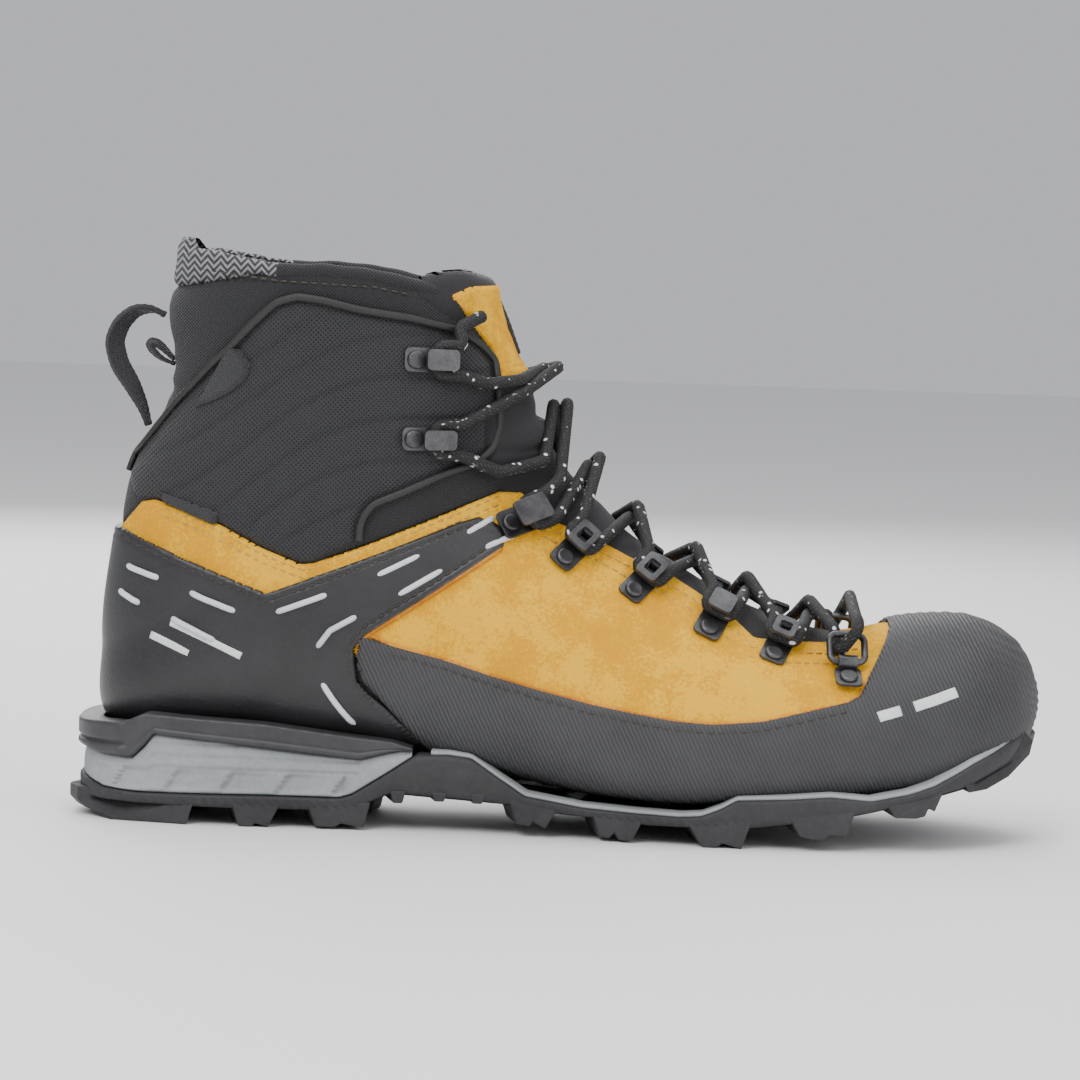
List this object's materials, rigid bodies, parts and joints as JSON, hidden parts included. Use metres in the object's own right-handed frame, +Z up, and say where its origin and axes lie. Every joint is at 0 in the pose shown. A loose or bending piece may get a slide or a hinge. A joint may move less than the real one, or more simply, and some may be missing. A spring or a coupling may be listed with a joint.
{
  "type": "mountaineering boot",
  "caption": "High-cut mountaineering boot with lugged sole, toe rand, suede band, padded cuff, speed hooks, D-rings and a criss-crossed lace.",
  "frame": {"origin": "centre of the bounding box in plan, on the ground the tread stands on", "axes": "+X from heel to toe, +Y to the inner (medial) side, +Z up; a right-foot boot"},
  "size_m": [0.3053, 0.1076, 0.185],
  "materials": {
    "black_textile": "woven",
    "board": "plain",
    "cable": "satin",
    "grey_foam": "matt",
    "gunmetal": "semi-gloss",
    "knit": "zigzag knit",
    "lace": "braided with pale flecks",
    "lining": "brushed",
    "mesh_fabric": "embossed mesh",
    "outsole": "matt",
    "overlay": "satin film",
    "piping": "satin",
    "stabilizer": "satin",
    "suede": "suede",
    "toe_rand": "fine lined"
  },
  "bodies": {
    "boot": {"ankle_cuff": "black_textile", "ankle_hook_lower_lateral": "gunmetal", "ankle_hook_lower_medial": "gunmetal", "ankle_hook_upper_lateral": "gunmetal", "ankle_hook_upper_medial": "gunmetal", "cable_front_lateral": "cable", "cable_front_medial": "cable", "cable_rear_lateral": "cable", "cable_rear_medial": "cable", "d_ring_plate_lateral": "gunmetal", "d_ring_plate_medial": "gunmetal", "eyelet_1_lateral": "gunmetal", "eyelet_1_medial": "gunmetal", "eyelet_2_lateral": "gunmetal", "eyelet_2_medial": "gunmetal", "eyelet_4_lateral": "gunmetal", "eyelet_4_medial": "gunmetal", "footbed": "lining", "heel_counter": "board", "heel_overlay": "overlay", "heel_stabilizer": "stabilizer", "heel_tape_loop": "black_textile", "heel_wedge": "grey_foam", "instep_hook_lateral": "gunmetal", "instep_hook_medial": "gunmetal", "knit_collar": "knit", "lace": "lace", "lasting_board": "board", "leaf_tab": "black_textile", "liner": "lining", "lock_eyelet_lateral": "gunmetal", "lock_eyelet_medial": "gunmetal", "outsole": "outsole", "piping_lateral": "piping", "piping_medial": "piping", "quarter_panel_lateral": "mesh_fabric", "quarter_panel_medial": "mesh_fabric", "rivets": "gunmetal", "small_tab": "black_textile", "suede_upper": "suede", "toe_puff": "board", "toe_rand": "toe_rand", "tongue": "lining", "tongue_keeper": "black_textile", "tongue_patch": "suede", "tongue_softshell": "black_textile"},
    "d_ring_lateral": {"d_ring_lateral": "gunmetal"},
    "d_ring_medial": {"d_ring_medial": "gunmetal"},
    "pull_loop": {"heel_pull_loop": "black_textile"}
  },
  "joints": [
    {"name": "d_ring_swing_lateral", "type": "hinge", "parent": "boot", "child": "d_ring_lateral", "pos_m": [0.08972, -0.03652, 0.05797], "axis": [-0.9947, -0.0966, 0.0347], "range_deg": [-6, 6]},
    {"name": "d_ring_swing_medial", "type": "hinge", "parent": "boot", "child": "d_ring_medial", "pos_m": [0.08958, 0.03983, 0.05797], "axis": [0.9994, 0.0028, -0.0349], "range_deg": [-6, 6]},
    {"name": "pull_loop_swing", "type": "hinge", "parent": "boot", "child": "pull_loop", "pos_m": [-0.1349, 0, 0.141], "axis": [0.085, 0, 0.9964], "range_deg": [-35, 35]}
  ]
}
